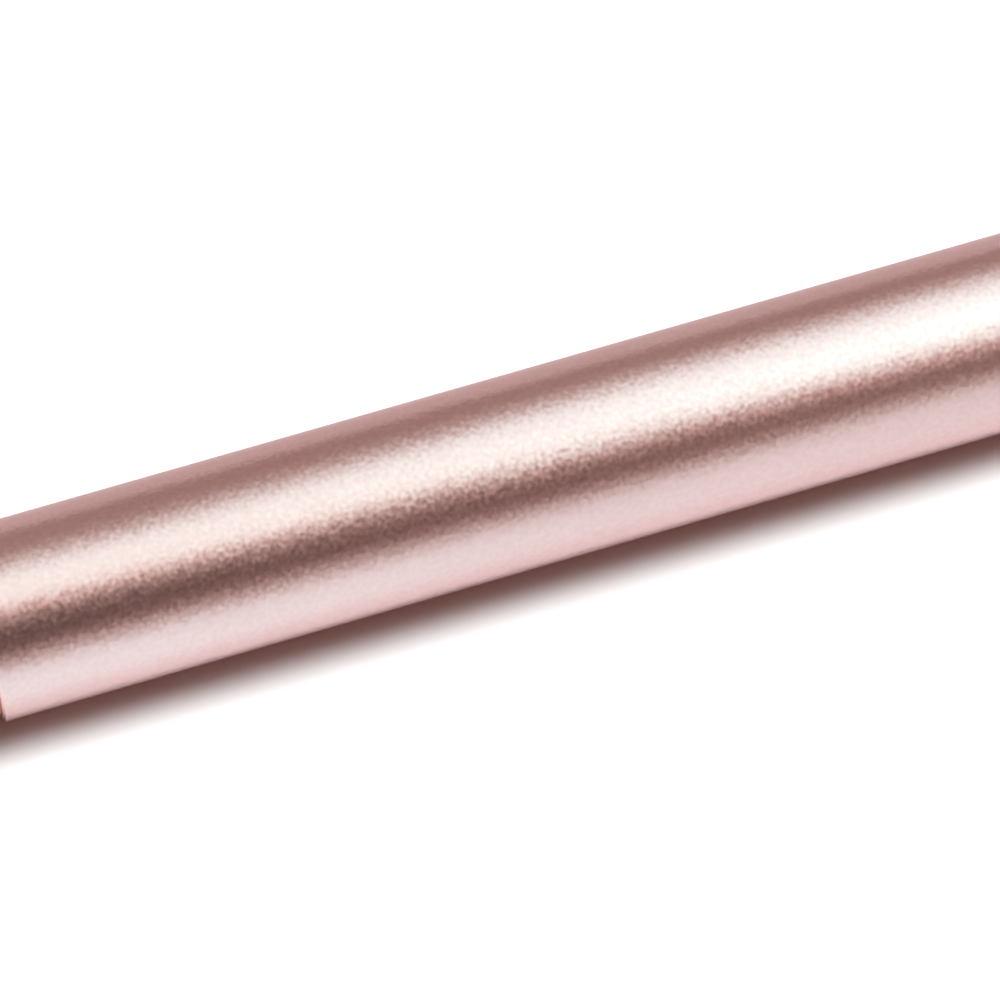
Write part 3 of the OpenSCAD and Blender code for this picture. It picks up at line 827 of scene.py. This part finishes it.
# %% The bar's surface
bar_r = (bar_high.x - bar_low.x) / 2
bar_x = (bar_high.x + bar_low.x) / 2
bar_half = (bar_high.y - bar_low.y) / 2
bar_round = 3 * mm
socket_r = stem_r + fit
columns = 144
window_columns = 48
window_rows = 44
window_half = 5.5 * mm


def on_bar(angle, y, r):
    """Round the bar's axis: back at angle 0, upwards at 90 degrees, at radius r."""
    return np.stack([bar_x - r * np.cos(angle), y + 0 * angle, axis_z + r * np.sin(angle)], -1)


def socket_ring(x, r, a):
    """A ring about the handle's axis at place x. Its direction a starts upwards."""
    return np.stack([x + 0 * a, r * np.sin(a), axis_z + r * np.cos(a)], -1)


window_gap = 0.5 * mm    # from the end's last row to the window's first
round_steps = 24
end_round = eased(corners((-bar_half, 0.0), (-bar_half, bar_r, bar_round),
                          (-window_half - window_gap, bar_r)), False, round_steps)
lengths = np.linspace(-window_half, window_half, window_rows + 1)
y_rows = np.concatenate([end_round[:, 0], lengths, -end_round[::-1, 0]])
r_rows = np.concatenate([end_round[:, 1], np.full(len(lengths), bar_r), end_round[::-1, 1]])
first_row = len(end_round)
angles = np.arange(columns) * 2 * np.pi / columns
skin = on_bar(angles[None, :] + 0 * y_rows[:, None], y_rows[:, None], r_rows[:, None])
cells = grid_faces(len(y_rows), columns, False, True).reshape(len(y_rows) - 1, columns, 4)
open_cells = np.zeros(cells.shape[:2], bool)
half_window = window_columns // 2
open_cells[first_row:first_row + window_rows, :half_window] = True
open_cells[first_row:first_row + window_rows, columns - half_window:] = True

# %% The fan round the socket
side_angle = angles[half_window]
across = np.linspace(-side_angle, side_angle, window_columns + 1)
edge_angle = np.concatenate([across[:-1], np.full(window_rows, side_angle),
                             across[:0:-1], np.full(window_rows, -side_angle)])
edge_y = np.concatenate([np.full(window_columns, -window_half), lengths[:-1],
                         np.full(window_columns, window_half), lengths[:0:-1]])
fan_a = np.arctan2(edge_y, bar_r * np.sin(edge_angle))
mouth_ease, mouth_sink = 0.15 * mm, 0.12 * mm     # how wide and how deep its edge is eased
mouth = socket_r + mouth_ease
mouth_angle = np.arcsin(mouth * np.cos(fan_a) / bar_r)
fan_rings, crowding = 11, 1.3     # the rings lie closer together at the window's edge
share = np.linspace(0, 1, fan_rings)[:, None] ** crowding
fan = on_bar(edge_angle + (mouth_angle - edge_angle) * share,
             edge_y + (mouth * np.sin(fan_a) - edge_y) * share, bar_r)
bar_depth = bar_x - np.sqrt(bar_r ** 2 - (socket_r * np.cos(fan_a)) ** 2)
slot_r = key_radius(fan_a, key_half + fit)
tapped_r = 1.51 * mm
tapped_end = key_front + 6.1 * mm
socket = np.stack([
    socket_ring(bar_depth + mouth_sink, socket_r, fan_a),
    socket_ring(seat_x, socket_r, fan_a),
    socket_ring(seat_x, slot_r, fan_a),
    socket_ring(key_front, slot_r, fan_a),
    socket_ring(key_front, tapped_r, fan_a),
    socket_ring(tapped_end, tapped_r, fan_a),
    socket_ring(tapped_end, 0.0, fan_a)])
well = np.concatenate([fan, socket])
well_faces = grid_faces(len(well), len(fan_a), False, True) + skin.shape[0] * columns
bar = make_piece("rolling_bar", np.concatenate([skin.reshape(-1, 3), well.reshape(-1, 3)]),
                 np.concatenate([cells[~open_cells], well_faces]), "handle")
dress(bar, "crossbar")
print("bar", round(2 * bar_half / mm, 2), "mm long, socket", round(2 * socket_r / mm, 2), "mm wide")

# %% [markdown]
# ## The studio
# The floor is white and the light comes from above. The picture shows what the metal sees:
# a broad soft box overhead and a little behind, a pale front near the floor, and between
# them the warm dark of a room. The world holds all three as soft-edged bands, because
# light from far away falls evenly on the whole floor.

# %% Places and levels of the lights
# In degrees round the handle: 0 at the front's horizon, 90 overhead, 180 at the back's. Each
# pair is a soft edge, from where a light starts to change to where it has changed.
box_rises, box_falls = (57, 83), (106, 147)
strip_rises, strip_falls = (71, 91), (96, 111)
front_falls, back_rises = (-6, 36), (110, 150)
near_rises, near_falls = (44, 56), (95, 105)
lamps_fade = (96, 106)

# As a share along the handle: 0 square to it and 1 along it. The lean counts the head's side
# only, where the soft box slants, and it and the room grow a little brighter.
lean_rises = (0.0, 0.25)
lean_stretch, lean_rise, lean_fall = 0.2, 28, 13
room_gain, box_gain = 0.18, 0.1
box_ends, front_ends, side_rises = (0.5, 0.6), (0.4, 0.6), (0.65, 0.95)
strip_starts, strip_ends = (0.45, 0.55), (0.85, 0.92)

# Brightness of each light, where the white floor is about 1
room_level, front_level, back_level, side_level, box_level = 0.045, 0.97, 0.37, 0.22, 1.10
strip_level = 14.2
dimmed, dimmed_behind = 0.3, 0.55
print("soft box from", box_rises[0], "to", box_falls[1], "degrees")

# %% The world
world = bpy.data.worlds.new("studio")
bpy.context.scene.world = world
world.use_nodes = True
sky = Nodes(world.node_tree)
east, north, up = sky.parts(sky.add("ShaderNodeTexCoord", out="Generated"))
around = sky.add("ShaderNodeMath", {"operation": "ARCTAN2"}, {0: up, 1: 0 - north})
degrees = around * (180 / math.pi)
aside = east.size()
lean = east.step(*lean_rises)
box = ((degrees * (1 - lean * lean_stretch) + lean * lean_rise).step(*box_rises)
       * (1 - (degrees - lean * lean_fall).step(*box_falls))
       * (1 - aside.step(*box_ends)))
strips = (degrees.step(*strip_rises) * (1 - degrees.step(*strip_falls))
          * aside.step(*strip_starts) * (1 - aside.step(*strip_ends)))
front = (1 - degrees.step(*front_falls)) * (1 - aside.step(*front_ends))
back = degrees.step(*back_rises)
side = aside.step(*side_rises)
near = degrees.step(*near_rises) * (1 - degrees.step(*near_falls))


def toward(first, second, share):
    """First where share is 0 and second where it is 1."""
    return first + (second - first) * share


light = toward(room_level + lean * room_gain, front_level, front)
light = toward(light, back_level, back)
light = toward(light, side_level, side)
light = toward(light, box_level + lean * box_gain, box)
cubed = light * light * light


def warmed(dark, gain, near_dark, near_gain):
    """Light times its share of a colour, which is small in the dark and grows with light.

    The share is dark + gain * light, and near_dark + near_gain * light cubed in the near band."""
    return light * toward(dark + light * gain, near_dark + cubed * near_gain, near)


level = sky.add("ShaderNodeCombineColor", None, {
    "Red": light, "Green": warmed(0.36, 0.74, 0.29, 0.59),
    "Blue": warmed(0.27, 0.81, 0.185, 0.635)})

# What is lit, and doesn't mirror, gets dimmer lights and two bright strips
lamps = sky.blend(dimmed + degrees.step(*lamps_fade) * dimmed_behind, level, colour(0, 0, 0))
lamps = sky.blend(strips, lamps, colour(strip_level, strip_level, strip_level))
studio = sky.add("ShaderNodeBackground", None, {
    "Color": sky.blend(sky.ray("Is Glossy Ray"), lamps, level), "Strength": 1.0})
white = sky.add("ShaderNodeBackground", None, {"Color": colour(1, 1, 1), "Strength": 1.0})
sky.add("ShaderNodeOutputWorld", None, {"Surface": sky.add("ShaderNodeMixShader", None, {
    0: sky.ray("Is Camera Ray"), 1: studio, 2: white})})
print("world of", len(world.node_tree.nodes), "nodes")

# %% The floor
floor_half = 3.0        # metres
floor_corners = floor_half * np.array([[-1, -1, 0], [1, -1, 0], [1, 1, 0], [-1, 1, 0]])
floor_mesh = bpy.data.meshes.new("floor")
floor_mesh.from_pydata(floor_corners.tolist(), [], [(0, 1, 2, 3)])
floor = bpy.data.objects.new("floor", floor_mesh)
bpy.context.scene.collection.objects.link(floor)

# %% The floor's paper
# The floor that the metal mirrors is painted: a painted reflection that is cooler and brighter
# towards the tail, painted rosy shade under the bar and just in front of it, and painted shade
# behind the bar.
floor_material, ground = finish("floor")
along, beyond = ground.parts(ground.place())[:2]
painted_tail_reflection, painted_head_reflection = colour(0.885, 0.99, 1.025), colour(0.785, 0.775, 0.81)
painted_rosy_shade, painted_dark_behind = colour(0.79, 0.70, 0.72), colour(0.54, 0.42, 0.42)
plain_paper, seen_paper = colour(0.80, 0.80, 0.80), colour(1.08, 1.09, 1.10)
# Painted shade: light that bounces off the floor again turns dark rose, so the shadow under the bar
# comes out deeper and redder
painted_shade_paper = colour(0.28, 0.03, 0.02)
# Painted reflection and painted shade, seen only in the metal's mirror
mirror = ground.blend(along.step(-60 * mm, 60 * mm), painted_tail_reflection, painted_head_reflection)
mirror = ground.blend(beyond.step(-22 * mm, -9 * mm), mirror, painted_rosy_shade)
mirror = ground.blend(beyond.step(0 * mm, 30 * mm), mirror, painted_dark_behind)
paper = ground.blend(ground.ray("Is Camera Ray"), plain_paper, seen_paper)
paper = ground.blend(ground.ray("Is Glossy Ray"), paper, mirror)
paper = ground.blend(ground.ray("Diffuse Depth") > 0.5, paper, painted_shade_paper)
ground.add("ShaderNodeOutputMaterial", None, {
    "Surface": ground.add("ShaderNodeBsdfDiffuse", None, {"Color": paper})})
floor_mesh.materials.append(floor_material)
print("floor of", 2 * floor_half, "m with a paper of", len(floor_material.node_tree.nodes), "nodes")

# %% [markdown]
# ## The camera
# The picture is a close view of the handle alone. Its tube narrows by two percent across
# the frame, and the bulge of its end ring and the place of the shadow's reflection agree on
# one view: from 63 degrees up and 18 degrees to the tail's side, at 0.6 m, through a long lens.

# %% The photograph's view
view_azimuth, view_elevation = math.radians(-17.9), math.radians(63)
view_distance = 0.6
focal_length, sensor_width = 263.4, 36
nearest = 0.01
aim_x = -8.45 * mm
aim_drop = 1.88 * mm
backwards = Vector((math.sin(view_azimuth) * math.cos(view_elevation),
                    -math.cos(view_azimuth) * math.cos(view_elevation),
                    math.sin(view_elevation)))
rightwards = Vector((math.cos(view_azimuth), math.sin(view_azimuth), 0))
upwards = backwards.cross(rightwards)
aim = Vector((aim_x, 0, axis_z)) - aim_drop * upwards
lens = bpy.data.cameras.new("camera")
lens.lens = focal_length
lens.sensor_width = sensor_width
lens.clip_start = nearest
camera = bpy.data.objects.new("camera", lens)
bpy.context.scene.collection.objects.link(camera)
turn_to = Matrix((rightwards, upwards, backwards)).transposed().to_4x4()
camera.matrix_world = Matrix.Translation(aim + view_distance * backwards) @ turn_to
bpy.context.scene.camera = camera
bpy.context.scene.view_settings.view_transform = "Standard"
print("camera at", [round(v, 3) for v in camera.matrix_world.translation])
